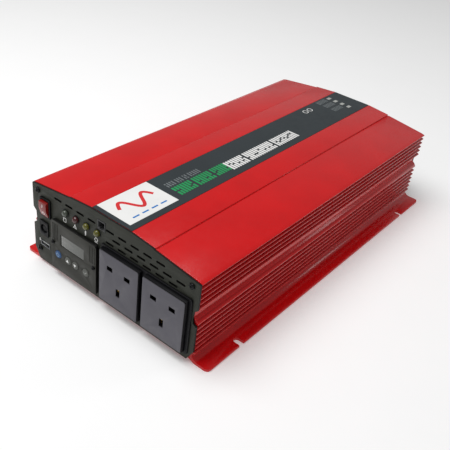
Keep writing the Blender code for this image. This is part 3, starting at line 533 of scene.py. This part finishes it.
# name, finish, reach of the start, bars in each word, low x, high x, bar, gap and word gap
BAR_LINES_MM = (
    ("label_line_grey", "print_grey", 77.5, (4, 3, 2, 5), -10.4, -3.0, 1.7, 1.5, 3.0),
    ("label_line_green", "print_green", 77.5, (7, 7, 6), -0.8, 14.2, 2.6, 1.1, 3.4),
    ("label_line_white", "print_white", 155.5, (8, 13, 11), 0.2, 16.4, 2.6, 1.1, 3.4),
)
RING_X = -15.6 * MM
RING_REACHES = (339.0 * MM, 348.4 * MM)
RING_RADIUS = 3.4 * MM
RING_PEN = 0.9 * MM
PAD_XS = (-19 * MM, -9 * MM, 1 * MM, 11 * MM)
PAD_REACH = 400.0 * MM
PAD_SIZE = (4.4 * MM, 7.0 * MM)
TABLE_XS = (-19 * MM, -8 * MM, 4 * MM)
TABLE_REACH = 374.0 * MM
TABLE_ROWS = 6
TABLE_PITCH = 3.4 * MM
TABLE_LINE = (8.0 * MM, 1.5 * MM)


def bar_words(start, lengths, low_x, high_x, bar, gap, word_gap):
    """Rows of upright bars in groups: a plain pattern in the place of a line of print."""
    loops = []
    y = start
    height = high_x - low_x
    for count in lengths:
        for _ in range(count):
            middle = y + bar / 2
            split = random.choice((0.0, 0.0, 0.36, 0.5, 0.64))
            if split:
                notch = 0.07 * height
                cut = low_x + split * height
                pieces = ((low_x, cut - notch), (cut + notch, high_x))
            else:
                pieces = ((low_x, high_x),)
            for low, high in pieces:
                loops.append(rectangle_points((low + high) / 2, middle, high - low, bar, 0.3 * MM, 2))
            y += bar + gap
        y += word_gap - gap
    return loops


def sine_points(start, end, middle, height, waves, steps=72):
    """A sine wave that runs along +Y about a line of constant X."""
    points = []
    for i in range(steps + 1):
        part = i / steps
        y = start + (end - start) * part
        points.append((middle - height * math.sin(2 * math.pi * waves * part), y))
    return points


def make_label():
    """The film with its print: a plaque with a wave, lines of bars, rings, pads and a table."""
    low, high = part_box("top_label")
    front, top = low.y, high.z
    refine("top_label", 0.08, 1)

    def put(name, loops, finish, layer=0):
        sheet(name, loops, PRINT_THICK, (0, 0, top + layer * PRINT_THICK), FACING_UP, finish)

    left, right = PLAQUE_X
    near, far = (front + reach for reach in PLAQUE_REACH)
    middle = (left + right) / 2
    put("label_plaque", [rectangle_points(middle, (near + far) / 2, right - left, far - near, 0.4 * MM, 2)],
        "print_white")
    wave = sine_points(near + WAVE_MARGIN, far - WAVE_MARGIN, middle + WAVE_SHIFT, WAVE_HEIGHT, 1.5)
    put("plaque_wave", [stroke_points(wave, WAVE_PEN)], "print_red", layer=1)
    dashes = [rectangle_points(middle + DASH_SHIFT, near + DASH_START + i * DASH_PITCH, *DASH_SIZE, 0.3 * MM)
              for i in range(4)]
    put("plaque_dashes", dashes, "print_blue", layer=1)

    for name, finish, reach, words, *sizes in BAR_LINES_MM:
        put(name, bar_words(front + reach * MM, words, *(size * MM for size in sizes)), finish)
    rings = []
    for reach in RING_REACHES:
        rings += ring_loops(RING_X, front + reach, RING_RADIUS, RING_PEN)
    put("label_rings", rings, "print_white")
    put("label_pads", [rectangle_points(x, front + PAD_REACH, *PAD_SIZE, 0.5 * MM) for x in PAD_XS],
        "print_grey_light")
    lines = [rectangle_points(x, front + TABLE_REACH + TABLE_PITCH * row, *TABLE_LINE)
             for x in TABLE_XS for row in range(TABLE_ROWS)]
    put("label_table", lines, "print_grey")


# ------------------------------------------------------------------ sockets
EARTH_DROP = 9.4 * MM                                                       # below the middle of the face
LEAF_LINE_MM = ((2.35, 2.0), (2.35, 6.0), (1.1, 11.0), (1.1, 15.0), (2.2, 21.0))   # across, depth
LEAF_THICK = 0.35 * MM
LEAF_HEIGHT = 7.6 * MM


def make_socket_contacts(side):
    """Brass leaves in the earth well of an outlet, behind the slot in its face."""
    centre = centre_of(f"socket_face_{side}")
    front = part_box(f"socket_face_{side}")[1].y
    for number, hand in enumerate((-1, 1), 1):
        line = [(hand * across * MM, depth * MM) for across, depth in LEAF_LINE_MM]
        mesh = sheet_mesh("leaf", [stroke_points(line, LEAF_THICK)], LEAF_HEIGHT)
        mesh.transform(Matrix.Translation((centre.x, front, centre.z - EARTH_DROP - LEAF_HEIGHT / 2)))
        add_piece(f"earth_contact_{side}_{number}", mesh, "brass")


def dress_sockets():
    refine("socket_frame", 0.3)
    for side in ("left", "right"):
        refine(f"socket_face_{side}", 0.25)
        refine(f"socket_body_{side}", 0.3)
        refine(f"socket_shutter_{side}", 0.25)
        make_socket_contacts(side)


# ------------------------------------------------------------------ lamps and marks on the front panel
LAMP_FINISHES = ("lens_clear", "lens_red", "lens_yellow", "lens_yellow")
LENS_RADIUS = 3.3 * MM
LENS_RIM = 2.0 * MM                            # thickness of the wide rim behind the lens
# a thin black ring of painted shade around each lens
SHADE_RING_WIDTH = 0.7 * MM
SHADE_RING_THICK = 0.5 * MM
MARK_THICK = 0.05 * MM
MARK_Z = 70.2 * MM
MARK_SHIFT = -1.9 * MM                         # from the lamp above
USB_MARK = (-100.1 * MM, 27.2 * MM)


def make_lamps():
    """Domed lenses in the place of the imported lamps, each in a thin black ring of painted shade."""
    panel_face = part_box("front_panel")[0].y
    for number, finish in enumerate(LAMP_FINISHES, 1):
        node = f"indicator_led_{number}"
        low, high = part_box(node)
        centre = centre_of(node)
        shoulder = panel_face - low.y - LENS_RADIUS
        turns = [math.radians(90 * i / 12) for i in range(13)]
        dome = [(LENS_RADIUS * math.sin(turn), shoulder + LENS_RADIUS * math.cos(turn)) for turn in turns]
        back = panel_face - high.y
        rim = (high.x - low.x) / 2
        profile = [*dome, (LENS_RADIUS, back + LENS_RIM), (rim, back + LENS_RIM), (rim, back), (0, back)]
        mesh = turned_mesh(f"lamp_{number}", profile)
        mesh.transform(Matrix.Translation((centre.x, panel_face, centre.z)) @ FACING_FRONT)
        smooth(mesh)
        add_piece(f"lamp_{number}", mesh, finish, CASING, (node,))
        # painted shade: a black ring where the edge of the lens is shaded
        shade_ring = ring_loops(centre.x, centre.z, LENS_RADIUS + 0.55 * MM, SHADE_RING_WIDTH)
        sheet(f"lamp_shade_ring_{number}", shade_ring, SHADE_RING_THICK, (0, panel_face, 0), FACING_FRONT,
              "black_plastic", edge=0.1 * MM)


def make_panel_marks():
    """Small plain marks below the lamps and beside the USB outlet."""
    face = (0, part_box("front_panel")[0].y, 0)
    xs = [centre_of(f"indicator_led_{number}").x + MARK_SHIFT for number in (1, 2, 3, 4)]
    z = MARK_Z
    marks = {
        "mark_frame": [rectangle_points(xs[0], z, 4.4 * MM, 5.0 * MM, 1.0 * MM),
                       rectangle_points(xs[0], z, 2.9 * MM, 3.5 * MM, 0.6 * MM)],
        "mark_triangle": [[(xs[1] - 2.6 * MM, z - 2.2 * MM), (xs[1] + 2.6 * MM, z - 2.2 * MM),
                           (xs[1], z + 2.7 * MM)],
                          [(xs[1] - 1.3 * MM, z - 1.4 * MM), (xs[1] + 1.3 * MM, z - 1.4 * MM),
                           (xs[1], z + 1.0 * MM)]],
        "mark_bar": [rectangle_points(xs[2], z, 1.6 * MM, 5.4 * MM, 0.5 * MM)],
        "mark_dial": [*ring_loops(xs[3], z + 0.4 * MM, 1.9 * MM, 0.75 * MM),
                      rectangle_points(xs[3], z - 2.6 * MM, 4.2 * MM, 0.8 * MM)],
        "mark_usb": [rectangle_points(*USB_MARK, 1.2 * MM, 3.2 * MM, 0.3 * MM)],
    }
    for name, loops in marks.items():
        sheet(name, loops, MARK_THICK, face, FACING_FRONT, "print_white")


# ------------------------------------------------------------------ rocker, buttons, display
ROCKER_TILT = 9.0                              # degrees, to either side of its middle position
ROCKER_RIDGE = 5.2 * MM                        # from the pivot to the ridge between the two faces
ROCKER_MARK_UP = 4.3 * MM                      # from the ridge to each mark
ROCKER_MARK_THICK = 0.12 * MM
SYMBOL_PEN = 0.5 * MM
SYMBOL_SIZE = 1.9 * MM
SYMBOL_THICK = 0.08 * MM
SYMBOL_SINK = 0.02 * MM                        # each symbol starts this far inside its button
SCREEN_MARGIN = 1.4 * MM
SCREEN_SINK = 0.4 * MM                         # behind the face of the module
DIGITS_IN_ROW = 8
DIGIT_PITCH = 3.6 * MM
DIGIT_ROW_Z = 2.7 * MM
SEGMENT_PEN = 0.32 * MM
RIBS_PER_SIDE = 4
RIB_PITCH = 2.2 * MM
RIB_SIZE = (0.7 * MM, 19.0 * MM)
RIB_MARGIN = 2.6 * MM
RIB_DROP = 12.5 * MM                           # from the top of the module to a rib's middle


def make_rocker_marks():
    """The on and off marks, on the two faces of the rocker, which rests with its lower end pressed in."""
    joint = next(item for item in frame["joints"] if item["name"] == "rocker_tilt")
    pivot = Vector(joint["pos_m"])
    rest = Matrix.Rotation(math.radians(ROCKER_TILT), 4, "X")
    reach = ROCKER_RIDGE - ROCKER_MARK_UP * math.tan(math.radians(ROCKER_TILT)) - 0.04 * MM
    marks = {
        "rocker_mark_on": (1, [rectangle_points(0, 0, 0.7 * MM, 3.4 * MM, 0.2 * MM)]),
        "rocker_mark_off": (-1, ring_loops(0, 0, 1.5 * MM, 0.65 * MM)),
    }
    for name, (end, loops) in marks.items():
        mesh = sheet_mesh(name, loops, ROCKER_MARK_THICK)
        tilt = Matrix.Rotation(math.radians(-end * ROCKER_TILT), 4, "X")
        on_face = Matrix.Translation((0, -reach, end * ROCKER_MARK_UP))
        mesh.transform(Matrix.Translation(pivot) @ rest @ on_face @ tilt @ FACING_FRONT)
        add_piece(name, mesh, "print_white", "rocker")


def triangle(direction, size):
    """An arrowhead that points up or down, for a direction of 1 or -1."""
    return [(-size, -direction * size * 0.8), (size, -direction * size * 0.8), (0, direction * size)]


def make_button_marks():
    """Symbols on the push buttons, each riding on its own button."""
    turns = [math.radians(a) for a in range(40, 321, 14)]
    open_ring = [(SYMBOL_SIZE * math.sin(turn), SYMBOL_SIZE * math.cos(turn)) for turn in turns]
    stem = rectangle_points(0, 1.5 * MM, SYMBOL_PEN, 2.2 * MM)
    tick = [(-1.8 * MM, 0.2 * MM), (-0.4 * MM, -1.4 * MM), (2.0 * MM, 1.5 * MM)]
    marks = {
        "power": ([stroke_points(open_ring, SYMBOL_PEN), stem], "print_pale_blue"),
        "up": ([triangle(1, SYMBOL_SIZE)], "print_white"),
        "down": ([triangle(-1, SYMBOL_SIZE)], "print_white"),
        "enter": ([stroke_points(tick, SYMBOL_PEN * 1.3)], "print_grey_light"),
    }
    for name, (loops, finish) in marks.items():
        node = f"{name}_button"
        centre = centre_of(node)
        place = (centre.x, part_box(node)[0].y + SYMBOL_SINK, centre.z)
        sheet(f"{name}_symbol", loops, SYMBOL_THICK, place, FACING_FRONT, finish, node)


def digit_loops(x, z):
    """The strokes of one unlit digit on the screen."""
    loops = [rectangle_points(x, z + step * MM, 1.6 * MM, SEGMENT_PEN) for step in (-1.7, 0, 1.7)]
    loops += [rectangle_points(x + across * MM, z + step * MM, SEGMENT_PEN, 1.3 * MM)
              for across in (-0.95, 0.95) for step in (-0.85, 0.85)]
    return loops


def make_display():
    """Window with its screen, and the ribs at the two upper corners of the module."""
    low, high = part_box("display_window")
    housing_low, housing_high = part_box("display_housing")
    x, _, z = (low + high) / 2
    pane = [rectangle_points(x, z, high.x - low.x, high.z - low.z)]
    sheet("display_pane", pane, high.y - low.y, (0, high.y, 0), FACING_FRONT, "lcd_glass",
          edge=0.1 * MM, replaces=("display_window",))
    face = housing_low.y + SCREEN_SINK
    screen = [rectangle_points(x, z, high.x - low.x - 2 * SCREEN_MARGIN, high.z - low.z - 2 * SCREEN_MARGIN,
                               0.5 * MM)]
    sheet("display_screen", screen, low.y - face, (0, low.y, 0), FACING_FRONT, "lcd_glass",
          edge=0.1 * MM)
    segments = []
    for row in (-1, 1):
        for column in range(DIGITS_IN_ROW):
            across = (column - (DIGITS_IN_ROW - 1) / 2) * DIGIT_PITCH
            segments += digit_loops(x + across, z + row * DIGIT_ROW_Z)
    sheet("display_segments", segments, 0.03 * MM, (0, face, 0), FACING_FRONT, "lcd_ghost")

    ribs = []
    for side, edge_x in ((1, housing_low.x + RIB_MARGIN), (-1, housing_high.x - RIB_MARGIN)):
        for number in range(RIBS_PER_SIDE):
            ribs.append(rectangle_points(edge_x + side * number * RIB_PITCH, housing_high.z - RIB_DROP,
                                         *RIB_SIZE, 0.3 * MM, 3))
    sheet("display_ribs", ribs, 0.3 * MM, (0, housing_low.y, 0), FACING_FRONT, "module_plastic",
          edge=0.1 * MM)


def dress_controls():
    for node in ("rocker_housing", "breaker_housing", "usb_port", "display_housing"):
        refine(node, 0.25)
    refine("remote_port", 0.2, finish="port_plastic")
    for node in ("breaker_button", "rocker"):
        refine(node, 0.3, 3)
    for node in ("power_button", "up_button", "down_button", "enter_button"):
        refine(node, 0.25)
    make_rocker_marks()
    make_button_marks()
    make_display()


# ------------------------------------------------------------------ USB outlet
TONGUE_THICK = 1.9 * MM
TONGUE_MARGIN = 1.1 * MM                       # from the shell's sides and from its mouth
USB_CONTACT_PITCH = 2.2 * MM


def make_usb_tongue():
    """Plastic tongue in the USB outlet with its four contacts."""
    low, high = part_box("usb_port")
    centre = centre_of("usb_port")
    front = low.y + TONGUE_MARGIN
    mesh = box_mesh("usb_tongue", (low.x + TONGUE_MARGIN, front, centre.z),
                    (high.x - TONGUE_MARGIN, high.y - 3 * MM, centre.z + TONGUE_THICK))
    add_piece("usb_tongue", round_edges(mesh, 0.15), "print_grey_light")
    for number in range(4):
        x = centre.x + (number - 1.5) * USB_CONTACT_PITCH
        mesh = box_mesh("contact", (x - 0.5 * MM, front + 0.6 * MM, centre.z - 0.12 * MM),
                        (x + 0.5 * MM, front + 7 * MM, centre.z + 0.05 * MM))
        add_piece(f"usb_contact_{number + 1}", round_edges(mesh, 0.05, 1), "brass")


# ------------------------------------------------------------------ screws, studs and rear marks
BATTERY_THREAD = {"radius": 4.15 * MM, "depth": 0.55 * MM, "pitch": 1.25 * MM}
BATTERY_THREAD_START = 6.5 * MM                # behind the rear panel
GROUND_THREAD = {"radius": 2.6 * MM, "depth": 0.4 * MM, "pitch": 0.8 * MM, "steps": 28}
GROUND_THREAD_START = 4.6 * MM
THREAD_PAST = 0.2 * MM                         # how far a thread stands past the end of its stud
SIGN_DROP = 17.5 * MM                          # from a battery stud to the sign below it
SIGN_ARM = 3.0 * MM
SIGN_HALF_PEN = 0.6 * MM
EARTH_SIGN_SHIFT = 9.5 * MM                    # from the ground stud


def dress_screws():
    for node in [name for name in frame["nodes"] if "_screw_" in name]:
        refine(node, 0.15, 1)


def thread_mesh(name, length, radius, depth, pitch, steps=36, per_turn=8):
    """A threaded rod along +Z from 0 to the given length, closed at both ends."""
    rows = int(length / pitch * per_turn)
    cage = bmesh.new()
    rings = []
    for row in range(rows + 1):
        height = length * row / rows
        fade = min(1.0, (length - height) / pitch, height / pitch + 0.2)
        ring = []
        for step in range(steps):
            phase = (height / pitch - step / steps) % 1.0
            crest = 1 - abs(2 * phase - 1)
            r = radius - depth * (1 - crest) - depth * (1 - fade)
            turn = 2 * math.pi * step / steps
            ring.append(cage.verts.new((r * math.cos(turn), r * math.sin(turn), height)))
        rings.append(ring)
    for lower, upper in zip(rings, rings[1:]):
        for i in range(steps):
            j = (i + 1) % steps
            cage.faces.new((lower[i], lower[j], upper[j], upper[i]))
    cage.faces.new(rings[0][::-1])
    cage.faces.new(rings[-1])
    return mesh_from(cage, name)


def make_thread(name, stud, start, thread):
    """A visible thread around the rear end of a stud, which itself is plain."""
    centre = centre_of(stud)
    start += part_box("rear_panel")[1].y
    mesh = thread_mesh(name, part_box(stud)[1].y - start + THREAD_PAST, **thread)
    mesh.transform(Matrix.Translation((centre.x, start, centre.z)) @ FACING_BACK)
    smooth(mesh, 50)
    add_piece(name, mesh, "brass")


def dress_terminals():
    for name in ("positive", "negative"):
        refine(f"terminal_bush_{name}", 0.4, 2)
        refine(f"terminal_nut_{name}", 0.5, 2)
        make_thread(f"stud_thread_{name}", f"terminal_stud_{name}", BATTERY_THREAD_START, BATTERY_THREAD)
    make_thread("ground_thread", "ground_stud", GROUND_THREAD_START, GROUND_THREAD)
    refine("mains_inlet", 0.3)


def make_rear_marks():
    """Plus, minus and earth signs on the rear panel."""
    rear_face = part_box("rear_panel")[1].y
    upright = FACING_BACK @ Matrix.Rotation(math.radians(180), 4, "Z")

    def put(name, x, z, loops):
        sheet(name, loops, MARK_THICK, (x, rear_face, z), upright, "print_white")

    plus = centre_of("terminal_stud_positive")
    minus = centre_of("terminal_stud_negative")
    ground = centre_of("ground_stud")
    arm, thin = SIGN_ARM, SIGN_HALF_PEN
    cross = [(-thin, -arm), (thin, -arm), (thin, -thin), (arm, -thin), (arm, thin), (thin, thin),
             (thin, arm), (-thin, arm), (-thin, thin), (-arm, thin), (-arm, -thin), (-thin, -thin)]
    put("mark_plus", plus.x, plus.z - SIGN_DROP, [cross])
    put("mark_minus", minus.x, minus.z - SIGN_DROP, [rectangle_points(0, 0, 2 * arm, 2 * thin)])
    earth = [rectangle_points(0, 1.9 * MM, 2 * thin, 2.6 * MM)]
    earth += [rectangle_points(0, (0.5 - 1.3 * i) * MM, (5.2 - 1.8 * i) * MM, 0.7 * MM) for i in range(3)]
    put("mark_earth", ground.x + EARTH_SIGN_SHIFT, ground.z, earth)


# ------------------------------------------------------------------ fans
BLADES = 7
HUB_RADIUS = 11.0 * MM
BLADE_TIP = 27.2 * MM
BLADE_ROOT = HUB_RADIUS - 0.6 * MM             # inside the hub
BLADE_HALF_THICK = 0.45 * MM
BLADE_HALF_HEIGHT = 4.9 * MM
BLADE_CROWN = 0.5 * MM
BLADE_SPANS = 8
BLADE_CHORDS = 6
HUB_PROFILE_MM = ((0, 5.0), (8.6, 5.0), (10.2, 4.5), (11.0, 3.4), (11.0, -5.0), (0, -5.0))   # radius, height


def blade_rows(blade):
    """The middle surface of a swept, twisted blade: rows of (radius, turn, height), from root to tip."""
    rows = []
    for i in range(BLADE_SPANS + 1):
        part = i / BLADE_SPANS
        radius = BLADE_ROOT + (BLADE_TIP - BLADE_ROOT) * part
        sweep = 0.30 * part * part
        half_angle = 0.36 - 0.04 * part
        pitch = math.radians(46 - 18 * part)
        row = []
        for k in range(BLADE_CHORDS + 1):
            along = -1 + 2 * k / BLADE_CHORDS
            turn = 2 * math.pi * blade / BLADES + sweep + along * half_angle
            lift = along * radius * half_angle * math.tan(pitch) * 0.62
            height = lift + BLADE_CROWN * (1 - along * along)
            row.append((radius, turn, max(-BLADE_HALF_HEIGHT, min(BLADE_HALF_HEIGHT, height))))
        rows.append(row)
    return rows


def add_blade(cage, rows):
    """A closed blade around its middle surface."""
    lower, upper = ([[cage.verts.new((r * math.cos(t), r * math.sin(t), h + offset)) for r, t, h in row]
                     for row in rows] for offset in (-BLADE_HALF_THICK, BLADE_HALF_THICK))
    spans, chords = BLADE_SPANS, BLADE_CHORDS
    for i in range(spans):
        for k in range(chords):
            cage.faces.new((upper[i][k], upper[i + 1][k], upper[i + 1][k + 1], upper[i][k + 1]))
            cage.faces.new((lower[i][k + 1], lower[i + 1][k + 1], lower[i + 1][k], lower[i][k]))
    border = [(i, 0) for i in range(spans)] + [(spans, k) for k in range(chords)]
    border += [(i, chords) for i in range(spans, 0, -1)] + [(0, k) for k in range(chords, 0, -1)]
    for (a, b), (c, d) in zip(border, border[1:] + border[:1]):
        cage.faces.new((lower[a][b], lower[c][d], upper[c][d], upper[a][b]))


def make_rotor(side):
    """Fan rotor: a domed hub and its blades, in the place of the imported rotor."""
    node = f"fan_rotor_{side}"
    joint = next(item for item in frame["joints"] if item["child"] == node)
    cage = bmesh.new()
    for blade in range(BLADES):
        add_blade(cage, blade_rows(blade))
    blades = mesh_from(cage, f"fan_blades_{side}")
    hub = turned_mesh(f"fan_hub_{side}", [(radius * MM, height * MM) for radius, height in HUB_PROFILE_MM])
    for mesh, replaced in ((blades, (node,)), (hub, ())):
        mesh.transform(Matrix.Translation(joint["pos_m"]) @ FACING_BACK)
        smooth(mesh)
        add_piece(mesh.name, mesh, "black_plastic", node, replaced)
    refine(f"fan_frame_{side}", 0.4)


# ------------------------------------------------------------------ studio
FLOOR_HALF = 6.0
FLOOR_THICK = 0.02
FLOOR_GREY = (246, 246, 246)
FLOOR_GLOW = 0.16
WORLD_STRENGTH = 0.3
WHITE = (1.0, 1.0, 1.0, 1.0)


def add_area(name, place, target, size, power):
    light = bpy.data.lights.new(name, "AREA")
    light.shape = "RECTANGLE"
    light.size = light.size_y = size
    light.energy = power
    obj = bpy.data.objects.new(name, light)
    bpy.context.scene.collection.objects.link(obj)
    obj.location = place
    obj.rotation_euler = (Vector(target) - Vector(place)).to_track_quat("-Z", "Y").to_euler()


def make_studio():
    """A white floor that glows a little, a white world and two soft lights."""
    floor = bpy.data.objects.new("floor", box_mesh("floor", (-FLOOR_HALF, -FLOOR_HALF, -FLOOR_THICK),
                                                   (FLOOR_HALF, FLOOR_HALF, 0)))
    bpy.context.scene.collection.objects.link(floor)
    material = make_finish("floor_paper", FLOOR_GREY, 0.9, mottle=0.002, specular=0.0)
    shader = material.node_tree.nodes["Principled BSDF"]
    shader.inputs["Emission Color"].default_value = WHITE
    shader.inputs["Emission Strength"].default_value = FLOOR_GLOW
    floor.data.materials.append(material)

    world = bpy.data.worlds.new("studio")
    world.use_nodes = True
    background = world.node_tree.nodes["Background"]
    background.inputs["Color"].default_value = WHITE
    background.inputs["Strength"].default_value = WORLD_STRENGTH
    bpy.context.scene.world = world

    add_area("overhead", place=(-0.35, -0.4, 1.4), target=(-0.02, -0.02, 0.05), size=1.0, power=16)
    add_area("rear_right", place=(0.85, 1.35, 1.0), target=(0.115, 0.1, 0.02), size=0.45, power=1.6)


def make_camera():
    """The camera at the photograph's angle, aimed at its target and rolled a little."""
    azimuth, elevation, roll = (math.radians(a) for a in (CAMERA_AZIMUTH, CAMERA_ELEVATION, CAMERA_ROLL))
    back = Vector((math.sin(azimuth) * math.cos(elevation), -math.cos(azimuth) * math.cos(elevation),
                   math.sin(elevation)))
    level_right = Vector((0, 0, 1)).cross(back).normalized()
    level_up = back.cross(level_right)
    right = math.cos(roll) * level_right + math.sin(roll) * level_up
    up = back.cross(right)
    camera = bpy.data.cameras.new("camera")
    camera.lens = CAMERA_LENS
    camera.sensor_width = SENSOR_WIDTH
    camera.clip_start = 0.01
    camera.dof.use_dof = False
    obj = bpy.data.objects.new("camera", camera)
    bpy.context.scene.collection.objects.link(obj)
    turn = Matrix((right, up, back)).transposed().to_4x4()
    obj.matrix_world = Matrix.Translation(CAMERA_TARGET + back * CAMERA_DISTANCE) @ turn
    bpy.context.scene.camera = obj


random.seed(7)                                 # for the pattern of the label's bars
make_camera()
make_studio()
dress_packed_parts()
dress_shells()
make_label()
dress_sockets()
make_lamps()
make_panel_marks()
dress_controls()
make_usb_tongue()
dress_screws()
dress_terminals()
make_rear_marks()
for fan_side in ("left", "right"):
    make_rotor(fan_side)
bpy.context.scene.view_settings.view_transform = "Standard"
